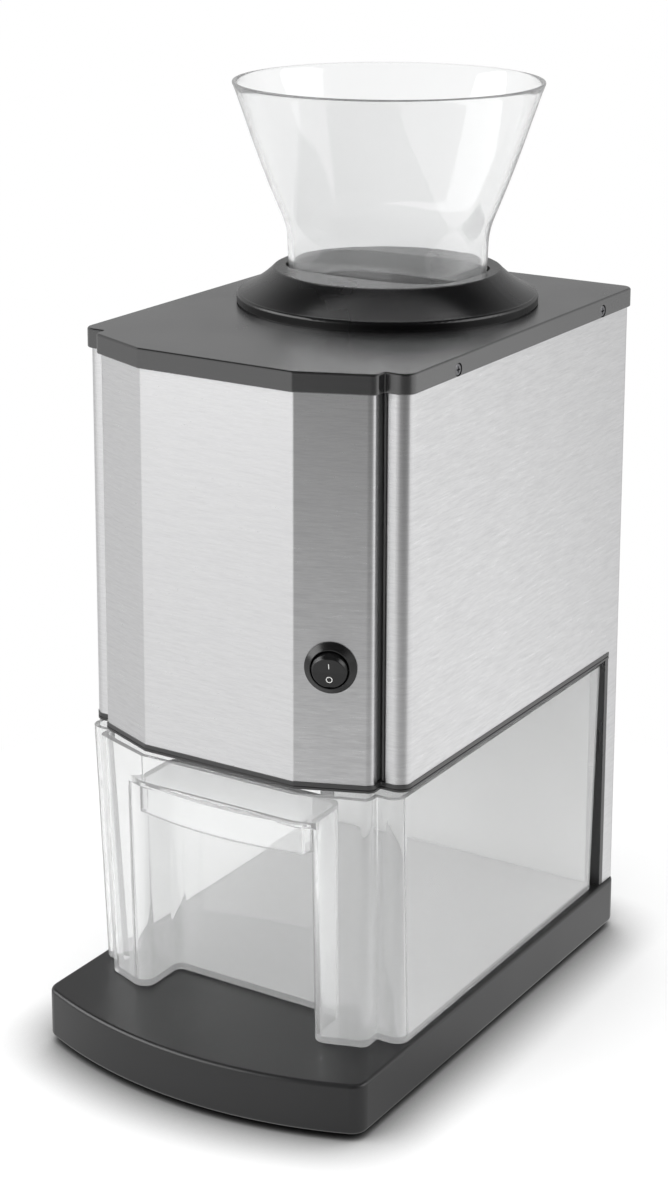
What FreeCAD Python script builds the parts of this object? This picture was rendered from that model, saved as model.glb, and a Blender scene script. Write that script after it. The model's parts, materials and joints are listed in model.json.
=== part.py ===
import FreeCAD, Part
import math
import os

# Electric ice crusher: a brushed steel body on a plastic base, with a lift-off clear hopper on top,
# a motor-driven blade rotor inside and a clear drawer below that catches the crushed ice.
# Frame: X across, Y from the front (-) to the rear (+), Z up, origin on the worktop under the middle.
# Lengths are in millimetres and angles in degrees.

os.makedirs("parts", exist_ok=True)
V = FreeCAD.Vector

# plan of the body, as the top cover has it
side_x = 85.0               # half width
rear_y = 134.9              # rear edge
front_y = -101.4            # flat middle facet of the front
facet_x = 39.8              # where the middle facet turns into a slanted one
facet_angle = 22.35         # turn of the slanted facets
facet_end_x = 73.0          # outer end of a slanted facet
column_y = -81.4            # front of the side columns
column_r = 6.0              # their outer corner

# heights
foot_h = 3.0
base_top = 26.6
deck_bottom = 147.0
deck_floor = deck_bottom + 1.6
deck_top = 150.3            # ledge that the steel stands on
cover_bottom = 323.9
cover_top = 333.0
collar_top = 349.3
shoulder_z = 368.0          # where the hopper starts to flare
rim_z = 437.0

# walls and gaps
steel_t = 0.8
steel_inset = 1.5           # steel behind the edge of the top cover
steel_rear_y = rear_y - 1.4
trim_inset = 1.2
cover_t = 2.5
panel_end_inset = 0.3       # edge of the front panel inside the plan of the steel
panel_open_y = -82.0        # free edges of the front panel
column_inner_x = 73.1       # groove side of a column
trim_line_z = 148.0         # fine line along the middle of the trim
mount_foot_t = 3.0          # screwed feet on the deck
gap = 0.3                   # between a moving piece and its neighbours

# base
base_front_y = -134.9
base_rear_y = 134.3
base_front_r = 208.0        # bow of the front edge
base_wall = 2.5
foot_r = 9.0
foot_places = [(-66, -108), (66, -108), (-66, 116), (66, 116)]
base_screw_places = [(-52, -88), (52, -88), (-52, 96), (52, 96)]

# drawer bay and drawer
bay_rear_y = 116.7          # front of the strip behind the drawer
post_y = 120.0              # front edge of the steel's rear post
back_wall_y = 117.2
back_wall_rear_y = 119.6
bay_trim_x = 74.2           # inner edge of the upright trim beside the back wall
drawer_bottom = base_top + gap
drawer_rim = 144.8
drawer_wall = 2.4
recess_top = 129.3          # ceiling of the finger recess
recess_half = 44.3
recess_r = 4.0
toe_r = 6.0                 # corners of the drawer on both sides of the recess
lip_bottom = 116.3
lip_half = 44.0
lip_flare = 1.6             # the handle's ends widen to meet the toes
lip_front_y = -103.2        # bow of the handle's face, and its ends
lip_end_y = -98.2

# hopper, collar and throat share one upright axis
hopper_y = 43.1
rim_r = 73.0
spigot_x = 46.0
spigot_y = 32.7
spigot_power = 3.4          # squareness of the spigot's oblong, 2 is an ellipse
hopper_wall = 2.2
spigot_end = 339.0
collar_r = 71.0
collar_ring_r = 53.0
flange_h = 5.0

# crusher
chamber_x = 41.0
chamber_y = 29.0
chamber_wall = 3.0
rotor_z = 255.0
shaft_r = 5.0
blade_r = 25.5
blade_t = 2.5
blade_count = 5
blade_pitch = 13.0
spacer_r = 8.0
journal_gap = 0.05

# gears, on axes along X
plate_x = 47.5              # inner face of the gear plate
plate_t = 2.0
pressure_angle = 25.0
addendum = 0.8
dedendum = 1.1
backlash = 0.12
pinion_teeth = 12
idler_big_teeth = 60
first_module = 1.0
idler_small_teeth = 14
drive_teeth = 56
second_module = 1.5
idler_bearing = 190.0       # direction from the rotor to the idler, in the side view
motor_bearing = 195.0       # direction from the idler to the motor
gear_cover_x = 72.5

# motor
motor_r = 29.0
motor_shaft_r = 3.0
motor_rear_x = -36.0

# rocker switch on the right slanted facet
switch_z = 203.3
switch_shift = -1.0          # along the facet from its middle
switch_r = 11.5
switch_hole_r = 10.2
bezel_edge = 0.6            # height of the bezel's outer edge
bezel_h = 3.0
bezel_top_r = 8.9
well_r = 8.6
rocker_r = 8.0
rocker_lift = 0.5           # pivot in front of the panel face
rocker_face = 4.0           # middle of the key's face over its pivot
rocker_dish = 4.0           # each half of the face rises outward
rocker_tilt = 12.0
rocker_pin_r = 1.2
rocker_pin_half = 9.2

# cord inlet and drawer interlock, in the rear post
gland_z = 50.0
gland_bore_r = 3.7
gland_thread_r = 6.0
interlock_x = 52.0
interlock_z = 128.0
plunger_r = 1.6
lead_r = 1.3                # insulated inner leads
lead_bend = 6.0


def block(x0, x1, y0, y1, z0, z1):
    return Part.makeBox(x1 - x0, y1 - y0, z1 - z0, V(x0, y0, z0))


def rod_x(radius, x0, x1, y, z):
    return Part.makeCylinder(radius, x1 - x0, V(x0, y, z), V(1, 0, 0))


def rod_y(radius, y0, y1, x, z):
    return Part.makeCylinder(radius, y1 - y0, V(x, y0, z), V(0, 1, 0))


def rod_z(radius, z0, z1, x, y):
    return Part.makeCylinder(radius, z1 - z0, V(x, y, z0), V(0, 0, 1))


def joined(shapes):
    return shapes[0].fuse(shapes[1:]).removeSplitter()


def mirrored(points):
    # the points of the right half, given from the front round to the rear, and their mirror images
    left = [(-x, y, r) for x, y, r in reversed(points)]
    return points + left


def outline(points, z):
    # closed wire through (x, y, corner radius) points
    count = len(points)
    corners = []
    for i in range(count):
        x, y, radius = points[i]
        corner = V(x, y, z)
        before = V(points[i - 1][0], points[i - 1][1], z) - corner
        after = V(points[(i + 1) % count][0], points[(i + 1) % count][1], z) - corner
        before.normalize()
        after.normalize()
        half = before.getAngle(after) / 2
        reach = radius / math.tan(half)
        inward = before + after
        start = corner + before * reach
        end = corner + after * reach
        middle = corner
        if radius > 0:
            inward.normalize()
            middle = corner + inward * (radius / math.sin(half) - radius)
        corners.append((start, middle, end, radius))
    edges = []
    for i in range(count):
        start, middle, end, radius = corners[i]
        if radius > 0:
            edges.append(Part.Arc(start, middle, end).toShape())
        edges.append(Part.makeLine(end, corners[(i + 1) % count][0]))
    return Part.Wire(edges)


def prism(points, z0, z1):
    return Part.Face(outline(points, z0)).extrude(V(0, 0, z1 - z0))


def to_side(shape):
    # turns a shape drawn in X, Y and raised along Z into the side view: X to Y, Y to Z, Z to X
    turned = shape.copy()
    turn = FreeCAD.Placement(V(0, 0, 0), FreeCAD.Rotation(V(1, 1, 1), 120))
    turned.Placement = turn.multiply(shape.Placement)
    return turned


def body_plan(inset):
    slope = math.tan(math.radians(facet_angle))
    corner_x = facet_x - inset * math.tan(math.radians(facet_angle / 2))
    corner_y = front_y + inset
    end_x = facet_end_x - inset
    end_y = corner_y + (end_x - corner_x) * slope
    right = [
        (corner_x, corner_y, 2.0),
        (end_x, end_y, 4.0),
        (end_x, column_y + inset, 0.5),
        (side_x - inset, column_y + inset, column_r),
        (side_x - inset, rear_y - inset, 6.0 - inset),
    ]
    return mirrored(right)


def facet_frame():
    # place of the switch on the right slanted facet of the steel, and the facet's directions
    plan = body_plan(steel_inset)
    middle_x = (plan[0][0] + plan[1][0]) / 2
    middle_y = (plan[0][1] + plan[1][1]) / 2
    along = V(math.cos(math.radians(facet_angle)), math.sin(math.radians(facet_angle)), 0)
    out = V(along.y, -along.x, 0)
    turn = FreeCAD.Rotation(along, V(0, 0, 1), out, "ZXY")
    return FreeCAD.Placement(V(middle_x, middle_y, switch_z) + along * switch_shift, turn)


def on_facet(shape):
    placed = shape.copy()
    placed.Placement = facet_frame().multiply(shape.Placement)
    return placed


# ---- base ----

def base_form(inset, z0, z1):
    half = side_x - inset
    front = base_front_y + inset
    radius = base_front_r - inset
    form = block(-half, half, front, base_rear_y - inset, z0, z1)
    bow = Part.makeCylinder(radius, z1 - z0, V(0, front + radius, z0))
    form = form.common(bow)
    uprights = [e for e in form.Edges if abs(e.Vertexes[0].X) > half - 0.1
                and abs(e.Vertexes[0].X - e.Vertexes[-1].X) < 0.1
                and abs(e.Vertexes[0].Y - e.Vertexes[-1].Y) < 0.1]
    return form.makeFillet(8.0 - inset / 2, uprights)


def base_tray():
    tray = base_form(0, foot_h, base_top)
    rim = [e for e in tray.Edges if e.BoundBox.ZMin > base_top - 0.1]
    tray = tray.makeFillet(1.8, rim)
    foot_rim = [e for e in tray.Edges if e.BoundBox.ZMax < foot_h + 0.1]
    tray = tray.makeFillet(2.0, foot_rim)
    tray = tray.cut(base_form(base_wall, foot_h - 1, base_top - base_wall))
    ribs = [block(-78, 78, y, y + 1.6, foot_h + 6, base_top - base_wall) for y in (-50, 0, 50)]
    ribs += [block(x, x + 1.6, -105, 128, foot_h + 6, base_top - base_wall) for x in (-32, 30.4)]
    posts = [rod_z(4.0, foot_h + 2.6, base_top - base_wall, x, y) for x, y in base_screw_places]
    tray = joined([tray] + ribs + posts)
    for x, y in base_screw_places:
        tray = tray.cut(rod_z(1.5, foot_h, 20, x, y))
    return tray


def base_plate():
    plate = base_form(base_wall + 0.2, foot_h + 0.6, foot_h + 2.6)
    for x, y in base_screw_places:
        plate = plate.cut(rod_z(1.7, 0, 10, x, y))
        plate = plate.cut(rod_z(3.2, foot_h, foot_h + 1.4, x, y))
    for x, y in foot_places:
        plate = plate.cut(rod_z(3.0, 0, 10, x, y))
    vents = [block(x, x + 3, 20, 60, foot_h, foot_h + 4) for x in range(-20, 21, 8)]
    return plate.cut(vents)


def base_foot(x, y):
    pad = rod_z(foot_r, 0, foot_h + 0.6, x, y)
    low_edge = [e for e in pad.Edges if e.BoundBox.ZMax < 0.1]
    pad = pad.makeChamfer(0.6, low_edge)
    stem = rod_z(3.0, foot_h, foot_h + 2.6, x, y)
    button = Part.makeCone(4.2, 2.6, 2.4, V(x, y, foot_h + 2.6))
    return joined([pad, stem, button])


def screw(head_r, head_h, shank_r, length):
    # pan head along +Z with a cross recess, the shank goes down from the origin
    head = Part.makeCylinder(head_r, head_h, V(0, 0, 0))
    rim = [e for e in head.Edges if e.BoundBox.ZMin > head_h - 0.05]
    head = head.makeFillet(head_h * 0.45, rim)
    arm = head_r * 0.55
    cross = [block(-arm, arm, -0.35, 0.35, head_h * 0.45, head_h + 1),
             block(-0.35, 0.35, -arm, arm, head_h * 0.45, head_h + 1)]
    head = head.cut(cross)
    shank = Part.makeCylinder(shank_r, length, V(0, 0, -length))
    return joined([head, shank])


def screws(places, direction, head_r, head_h, shank_r, length):
    solids = []
    turn = FreeCAD.Rotation(V(0, 0, 1), V(*direction))
    for place in places:
        solid = screw(head_r, head_h, shank_r, length)
        solid.Placement = FreeCAD.Placement(V(*place), turn)
        solids.append(solid)
    return Part.makeCompound(solids)


# ---- shells of the body ----

def sheet(outer, inner, z0, z1):
    # bent sheet between an outer and an inner path that both run from one free edge to the other
    return prism(outer + inner[::-1], z0, z1)


def panel_path(inset, open_y):
    plan = body_plan(steel_inset + inset)
    end_x = plan[1][0] - panel_end_inset
    slope = math.tan(math.radians(facet_angle))
    end_y = plan[0][1] + (end_x - plan[0][0]) * slope
    right = [(plan[0][0], plan[0][1], 2.0), (end_x, end_y, 4.0 - inset), (end_x, open_y, 0)]
    left = [(-x, y, r) for x, y, r in reversed(right)]
    return left + right


def switch_hole(radius):
    return on_facet(Part.makeCylinder(radius, 20, V(0, 0, -10)))


def front_panel():
    outside = panel_path(0, panel_open_y)
    panel = sheet(outside, panel_path(steel_t, panel_open_y), deck_top, cover_bottom + 5)
    return panel.cut(switch_hole(switch_hole_r))


def front_frame():
    # moulded frame behind the front panel: it backs the steel and closes the two upright grooves
    low = deck_top + 0.3
    high = cover_bottom + 1.0
    frame = sheet(panel_path(steel_t + 0.2, -70.0), panel_path(steel_t + 2.4, -70.0), low, high)
    floors = [block(x, x + 8.1, -72.0, -70.0, low, high) for x in (-72.8, 64.7)]
    strips = [block(x, x + 1.0, -79.2, -71.0, low, high) for x in (-72.7, 71.7)]
    window = block(-33, 33, -110, -90, low + 60, high - 14)
    frame = joined([frame] + floors + strips)
    return frame.cut([window, switch_hole(switch_r + 1.5)])


def wrap_path(inset):
    front = column_y + steel_inset + inset
    side = side_x - steel_inset - inset
    inner = column_inner_x + inset
    right = [(inner, -68.0, 0), (inner, front, 0.9 - inset), (side, front, 5.8 - inset),
             (side, steel_rear_y - inset, 4.5 - inset)]
    return mirrored(right)


def body_wrap():
    # one sheet bent round the back, both sides and the two front columns
    low = base_top
    high = cover_bottom + 5
    rear = steel_rear_y
    wrap = sheet(wrap_path(0), wrap_path(steel_t), low, high)
    wrap = wrap.cut(block(-100, 100, -100, post_y, low - 1, deck_top))
    slots = [block(-36, 36, rear - 2, rear + 2, z, z + 3) for z in range(196, 241, 8)]
    holes = [rod_y(gland_thread_r + 0.2, rear - 3, rear + 3, 0, gland_z)]
    holes += [rod_y(1.7, rear - 3, rear + 3, x, z) for x, y, z in rear_screw_places]
    holes += [rod_x(1.7, -90, 90, y, z) for x, y, z in cover_screw_places if x > 0]
    return wrap.cut(slots + holes)


rear_screw_places = [(x, steel_rear_y, z) for x in (-70, 70) for z in (38, 138)]
cover_screw_places = [(x, y, 327.0) for x in (-83.5, 83.5) for y in (-39.8, 100.3)]


def deck_frame():
    # floor of the machine room, and the dark trim line under the steel
    plan = body_plan(trim_inset)
    frame = prism(plan, deck_bottom, deck_top)
    frame = frame.cut(prism(body_plan(trim_inset + 4.0), deck_floor, deck_top + 1))
    frame = frame.cut(block(-100, 100, post_y, 150, 0, 200))
    line = prism(body_plan(0), trim_line_z, trim_line_z + 0.5)
    frame = frame.cut(line.cut(prism(body_plan(trim_inset + 0.5), trim_line_z - 1, trim_line_z + 1)))
    ribs = [block(-81.8, -79.8, -58, 112, deck_bottom, deck_top + 6),
            block(79.8, 81.8, -58, 112, deck_bottom, deck_top + 6),
            block(-36, 36, -96.6, -94.8, deck_bottom, deck_top + 6)]
    closing = block(-81.8, 81.8, 117.6, post_y, deck_bottom, deck_top + 2)
    frame = joined([frame, closing] + ribs)
    hole = mirrored([(36.0, hopper_y - 24.0, 8.0), (36.0, hopper_y + 24.0, 8.0)])
    screw_holes = [rod_z(1.8, deck_bottom - 1, deck_top, x, y) for x, y, z in floor_screw_places]
    return frame.cut([prism(hole, deck_bottom - 1, deck_top + 4)] + screw_holes)


def bay_back_wall():
    wall = block(-bay_trim_x, bay_trim_x, back_wall_y, back_wall_rear_y, base_top, deck_bottom)
    posts = [rod_y(4.0, 119.0, rear_y - 2.3, x, z) for x, y, z in rear_screw_places]
    wall = joined([wall] + posts)
    pilots = [rod_y(1.4, 121.0, rear_y, x, z) for x, y, z in rear_screw_places]
    hole = rod_y(plunger_r + journal_gap, 110, 125, interlock_x, interlock_z)
    return wall.cut(pilots + [hole])


def bay_trim():
    # upright trim that closes the bay between the back wall and the steel's rear posts
    side = side_x - steel_inset
    width = side - bay_trim_x
    strips = [block(x, x + width, bay_rear_y, post_y, base_top, deck_bottom) for x in (-side, bay_trim_x)]
    return Part.makeCompound(strips)


def top_cover():
    cover = prism(body_plan(0), cover_bottom, cover_top)
    rim = [e for e in cover.Edges if e.BoundBox.ZMin > cover_top - 0.1]
    cover = cover.makeFillet(1.0, rim)
    lower_rim = [e for e in cover.Edges if e.BoundBox.ZMax < cover_bottom + 0.1]
    cover = cover.makeFillet(0.5, lower_rim)
    cover = cover.cut(prism(body_plan(1.3), cover_bottom - 1, cover_top - cover_t))
    under = cover_top - cover_t
    ribs = [block(x, x + 2.5, -55, 122, cover_bottom, under) for x in (-82.5, 80.0)]
    ribs.append(block(-72, 72, 129.8, 132.3, cover_bottom, under))
    ribs.append(block(-34, 34, -95.2, -93.2, cover_bottom, under))
    cover = joined([cover] + ribs)
    throat = oblong_column(chamber_x + 0.5, chamber_y + 0.3, spigot_power, under - 1, cover_top + 1)
    cuts = [throat]
    cuts += [rod_x(3.0, x - 2, x + 4, y, z) for x, y, z in cover_screw_places if x > 0]
    cuts += [rod_x(3.0, x - 4, x + 2, y, z) for x, y, z in cover_screw_places if x < 0]
    cuts += [rod_x(1.4, -84, 84, y, z) for x, y, z in cover_screw_places if x > 0]
    cuts += [rod_z(1.8, under - 1, cover_top + 1, x, y) for x, y, z in collar_screw_places]
    return cover.cut(cuts)


# ---- collar and hopper ----

def oblong(half_x, half_y, power, z):
    # closed smooth curve round the hopper's axis, |x/a|^n + |y/b|^n = 1
    points = []
    for step in range(36):
        turn = math.radians(step * 10)
        reach = (abs(math.cos(turn) / half_x) ** power + abs(math.sin(turn) / half_y) ** power)
        reach = reach ** (-1 / power)
        points.append(V(reach * math.cos(turn), hopper_y + reach * math.sin(turn), z))
    curve = Part.BSplineCurve()
    curve.interpolate(points, PeriodicFlag=True)
    return Part.Wire(curve.toShape())


def oblong_column(half_x, half_y, power, z0, z1):
    return Part.Face(oblong(half_x, half_y, power, z0)).extrude(V(0, 0, z1 - z0))


collar_screw_places = [(x, hopper_y + y, cover_top - cover_t) for x in (-50, 50) for y in (-32, 32)]


def collar_profile():
    # outer skin in radius and height: flange, a hollow cone and the flat ring at the top
    low = cover_top
    high = collar_top
    flange_top = low + flange_h
    cone_top = V(collar_ring_r + 0.8, 0, high - 0.4)
    cone_foot = V(collar_r - 1.6, 0, flange_top)
    cone_mid = V((collar_r + collar_ring_r) / 2 - 1.0, 0, (flange_top + high) / 2 - 0.9)
    return [
        Part.makeLine(V(0, 0, low), V(collar_r - 0.8, 0, low)),
        Part.makeLine(V(collar_r - 0.8, 0, low), V(collar_r - 0.8, 0, low + 0.7)),
        Part.makeLine(V(collar_r - 0.8, 0, low + 0.7), V(collar_r, 0, low + 0.7)),
        Part.makeLine(V(collar_r, 0, low + 0.7), V(collar_r, 0, flange_top - 1.6)),
        Part.Arc(V(collar_r, 0, flange_top - 1.6), V(collar_r - 0.5, 0, flange_top - 0.5),
                 cone_foot).toShape(),
        Part.Arc(cone_foot, cone_mid, cone_top).toShape(),
        Part.makeLine(cone_top, V(collar_ring_r, 0, high)),
        Part.makeLine(V(collar_ring_r, 0, high), V(0, 0, high)),
        Part.makeLine(V(0, 0, high), V(0, 0, low)),
    ]


def hopper_collar():
    skin = Part.Face(Part.Wire(collar_profile())).revolve(V(0, 0, 0), V(0, 0, 1), 360)
    skin.translate(V(0, hopper_y, 0))
    room = oblong_column(spigot_x + 0.5, spigot_y + 0.5, spigot_power, spigot_end - gap, collar_top + 1)
    throat = oblong_column(spigot_x - 2.6, spigot_y - 2.6, spigot_power, cover_top - 1, collar_top)
    under = Part.makeCone(collar_r - 4, collar_ring_r, 11.5, V(0, hopper_y, cover_top - 0.01))
    keep = oblong_column(spigot_x + 2.7, spigot_y + 2.7, spigot_power, cover_top - 1, collar_top)
    posts = [rod_z(4.0, cover_top, cover_top + 11, x, y) for x, y, z in collar_screw_places]
    hollow = under.cut([keep] + posts)
    collar = skin.cut([room, throat, hollow])
    return collar.cut([rod_z(1.4, cover_top - 1, cover_top + 8, x, y) for x, y, z in collar_screw_places])


def hopper_half(z):
    # half width, half depth and squareness of the hopper's outer skin at a height
    rise = max(0.0, (z - shoulder_z) / (rim_z - shoulder_z))
    draft = (min(z, shoulder_z) - spigot_end) / (shoulder_z - spigot_end)
    half_x = spigot_x - 1.0 + draft + (rim_r - spigot_x) * rise
    half_y = spigot_y - 1.0 + draft + (rim_r - spigot_y) * rise
    power = 2.0 + (spigot_power - 2.0) * max(0.0, 1 - rise) ** 1.5
    return half_x, half_y, power


def hopper_form(inset, low, high):
    bend = (shoulder_z - 4, shoulder_z + 3, shoulder_z + 12)
    levels = [low] + list(bend) + [shoulder_z + 30, shoulder_z + 48, high]
    wires = []
    for z in levels:
        half_x, half_y, power = hopper_half(z)
        wires.append(oblong(half_x - inset, half_y - inset, power, z))
    return Part.makeLoft(wires, True, True)


def hopper():
    shell = hopper_form(0, spigot_end, rim_z)
    shell = shell.cut(hopper_form(hopper_wall, spigot_end - 1, rim_z + 1))
    return shell


# ---- drawer ----

def between(low_value, high_value, z):
    share = (z - drawer_bottom) / (drawer_rim - drawer_bottom)
    return low_value + (high_value - low_value) * share


def drawer_plan(inset, z):
    end_x = between(69.7, 72.4, z) - inset
    post_front = between(-78.2, -84.4, z) + inset
    right = [
        (41.0, between(-97.6, -101.2, z) + inset, 3.0),
        (end_x, between(-87.5, -90.6, z) + inset, 4.0),
        (end_x, post_front, 0.6),
        (between(82.3, 83.3, z) - inset, post_front, 6.5 - inset),
        (between(81.5, 82.4, z) - inset, between(112.0, 115.4, z) - inset, 3.0 - inset),
    ]
    return mirrored(right)


def recessed_plan(inset, z):
    # the same outline below the handle, where a finger recess parts two rounded toes
    corner, end, post, outer, rear = drawer_plan(inset, z)[:5]
    toe_x = recess_half + inset
    slope = (end[1] - corner[1]) / (end[0] - corner[0])
    toe_y = corner[1] + (toe_x - corner[0]) * slope
    back = between(-69.6, -71.4, z) + inset
    right = [(toe_x, back, recess_r + inset), (toe_x, toe_y, toe_r - inset), end, post, outer, rear]
    return mirrored(right)


def drawer_form(plan, inset, z0, z1):
    wires = [outline(plan(inset, z), z) for z in (z0, z1)]
    return Part.makeLoft(wires, True, True)


def drawer_room():
    # the space inside the drawer, with a ledge over the handle
    ledge = recess_top + drawer_wall
    low = drawer_form(recessed_plan, drawer_wall, drawer_bottom + drawer_wall, ledge)
    high = drawer_form(drawer_plan, drawer_wall, ledge, drawer_rim + 1)
    return joined([low, high])


def lip_face(set_back, half, z):
    end_y = lip_end_y + set_back
    front = Part.Arc(V(-half, end_y, z), V(0, lip_front_y + set_back, z), V(half, end_y, z))
    rear_half = half + lip_flare
    right = Part.makeLine(V(half, end_y, z), V(rear_half, -90, z))
    rear = Part.makeLine(V(rear_half, -90, z), V(-rear_half, -90, z))
    left = Part.makeLine(V(-rear_half, -90, z), V(-half, end_y, z))
    return Part.Face(Part.Wire([front.toShape(), right, rear, left]))


def drawer():
    low = drawer_form(recessed_plan, 0, drawer_bottom, recess_top)
    high = drawer_form(drawer_plan, 0, recess_top, drawer_rim)
    room = drawer_room()
    tub = joined([low, high]).cut(room)
    lip = lip_face(0, lip_half, lip_bottom).extrude(V(0, 0, recess_top + drawer_wall - lip_bottom))
    finger_room = lip_face(2.6, lip_half - 2.4, lip_bottom - 1).extrude(V(0, 0, recess_top - lip_bottom + 1))
    behind = block(-50, 50, -92.5, -80, 0, recess_top)
    lip = lip.cut([finger_room, behind, room])
    return joined([tub, lip])


# ---- crusher ----

def crusher_housing():
    low = deck_floor
    high = cover_top - cover_t - 0.2
    outer_x = chamber_x + chamber_wall
    outer_y = chamber_y + chamber_wall
    duct = mirrored([(outer_x, hopper_y - outer_y, 6.0), (outer_x, hopper_y + outer_y, 6.0)])
    foot = mirrored([(outer_x + 9, hopper_y - outer_y - 9, 6.0), (outer_x + 9, hopper_y + outer_y + 9, 6.0)])
    room = mirrored([(chamber_x, hopper_y - chamber_y, 5.0), (chamber_x, hopper_y + chamber_y, 5.0)])
    body = joined([prism(duct, low, high), prism(foot, low, low + mount_foot_t)] + housing_bosses())
    body = body.cut(prism(room, low - 1, high + 1))
    cuts = [rod_x(8.0, -60, 60, hopper_y, rotor_z)]
    cuts += [rod_x(1.3, 38, 50, y, z) for x, y, z in plate_screw_places]
    cuts += [rod_z(1.8, low - 1, low + 4, x, y) for x, y, z in housing_screw_places]
    cuts += [rod_y(1.8, hopper_y, hopper_y + 40, x, z) for x, y, z in comb_screw_places]
    return body.cut(cuts)


plate_screw_places = [(plate_x + plate_t, y, z) for y, z in ((18, 215), (68, 215), (68, 297), (18, 297))]
housing_screw_places = [(x, hopper_y + y, deck_floor + mount_foot_t)
                        for x in (-48.5, 48.5) for y in (-34, 34)]
comb_screw_places = [(x, hopper_y + chamber_y + chamber_wall, rotor_z) for x in (-26, 26)]


def housing_bosses():
    outer_x = chamber_x + chamber_wall
    bosses = [rod_x(12.5, -plate_x, -outer_x + 1, hopper_y, rotor_z)]
    bosses.append(rod_x(12.5, outer_x - 1, plate_x, hopper_y, rotor_z))
    bosses += [rod_x(4.0, outer_x - 1, plate_x, y, z) for x, y, z in plate_screw_places]
    return bosses


def funnel(inset, z0, z1):
    wires = []
    for z, half_x, half_y in ((z0, 35.0, 23.0), (z1, chamber_x - 0.2, chamber_y - 0.2)):
        half_x -= inset
        half_y -= inset
        corners = [(half_x, hopper_y - half_y, 7.0), (half_x, hopper_y + half_y, 7.0)]
        wires.append(outline(mirrored(corners), z))
    return Part.makeLoft(wires, True, True)


def discharge_chute():
    return funnel(0, deck_bottom, 208.0).cut(funnel(1.6, deck_bottom - 0.01, 208.01))


def rotor_shaft():
    shaft = rod_x(shaft_r, -52.0, 70.4, hopper_y, rotor_z)
    flats = [block(-chamber_x + 0.3, chamber_x - 0.3, 0, 100, rotor_z + 4.2, rotor_z + 9),
             block(51.0, 68.0, 0, 100, rotor_z + 4.2, rotor_z + 9)]
    grooves = [ring_x(shaft_r + 1, shaft_r - 0.8, x, x + 1.0, hopper_y, rotor_z) for x in clip_places]
    return shaft.cut(flats + grooves)


clip_places = (-50.3, 68.8)


def ring_x(outer_r, inner_r, x0, x1, y, z):
    return rod_x(outer_r, x0, x1, y, z).cut(rod_x(inner_r, x0 - 1, x1 + 1, y, z))


def shaft_clips():
    # two open retaining clips that snap into the shaft's grooves
    clips = []
    for x in clip_places:
        clip = ring_x(8.0, shaft_r - 0.8, x, x + 1.0, hopper_y, rotor_z)
        clips.append(clip.cut(block(x - 1, x + 2, hopper_y - 3, hopper_y + 3, rotor_z - 12, rotor_z)))
    return Part.makeCompound(clips)


def blade_middle(number):
    return (number - (blade_count - 1) / 2) * blade_pitch


def rotor_blade(number):
    # three hooked teeth round a hub, each blade turned on from the one beside it
    points = []
    for tooth in range(3):
        start = tooth * 120 + number * 24
        for turn, reach in ((0, 11.5), (14, blade_r), (24, blade_r), (52, 15.0), (88, 11.5)):
            angle = math.radians(start + turn)
            points.append((hopper_y + reach * math.cos(angle), rotor_z + reach * math.sin(angle), 0))
    middle = blade_middle(number)
    blade = to_side(prism(points, middle - blade_t / 2, middle + blade_t / 2))
    return blade.cut(rotor_shaft())


def blade_spacer(number):
    # spacer to the left of the blade with the same number, the last one is at the right end
    left = blade_middle(number - 1) + blade_t / 2
    right = blade_middle(number) - blade_t / 2
    if number == 0:
        left = -chamber_x + 0.3
    if number == blade_count:
        right = chamber_x - 0.3
    return rod_x(spacer_r, left, right, hopper_y, rotor_z).cut(rotor_shaft())


def fixed_comb():
    # fingers that stand between the turning blades, on one bar along the rear wall
    wall = hopper_y + chamber_y
    bar = block(-chamber_x + 5.2, chamber_x - 5.2, wall - 2.4, wall, rotor_z - 10, rotor_z + 10)
    fingers = []
    for number in range(blade_count + 1):
        middle = blade_middle(number - 0.5)
        points = [(wall - 1, rotor_z - 8, 0), (wall - 1, rotor_z + 8, 0),
                  (hopper_y + spacer_r + 1.5, rotor_z + 3, 0), (hopper_y + spacer_r + 1.5, rotor_z - 3, 0)]
        fingers.append(to_side(prism(points, middle - 1.3, middle + 1.3)))
    comb = joined([bar] + fingers)
    return comb.cut([rod_y(1.3, hopper_y, wall + 1, x, z) for x, y, z in comb_screw_places])


def shaft_bush(side):
    barrel = rod_x(8.0, chamber_x, plate_x, hopper_y, rotor_z)
    flange = rod_x(10.5, plate_x, plate_x + 1.4, hopper_y, rotor_z)
    bush = joined([barrel, flange])
    bush = bush.cut(rod_x(shaft_r + journal_gap, 0, 80, hopper_y, rotor_z))
    if side < 0:
        bush = bush.mirror(V(0, 0, 0), V(1, 0, 0))
    return bush


# ---- gears ----

def around(center, distance, bearing):
    turn = math.radians(bearing)
    return (center[0] + distance * math.cos(turn), center[1] + distance * math.sin(turn))


rotor_axis = (hopper_y, rotor_z)
idler_axis = around(rotor_axis, (drive_teeth + idler_small_teeth) * second_module / 2, idler_bearing)
motor_axis = around(idler_axis, (idler_big_teeth + pinion_teeth) * first_module / 2, motor_bearing)


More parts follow.
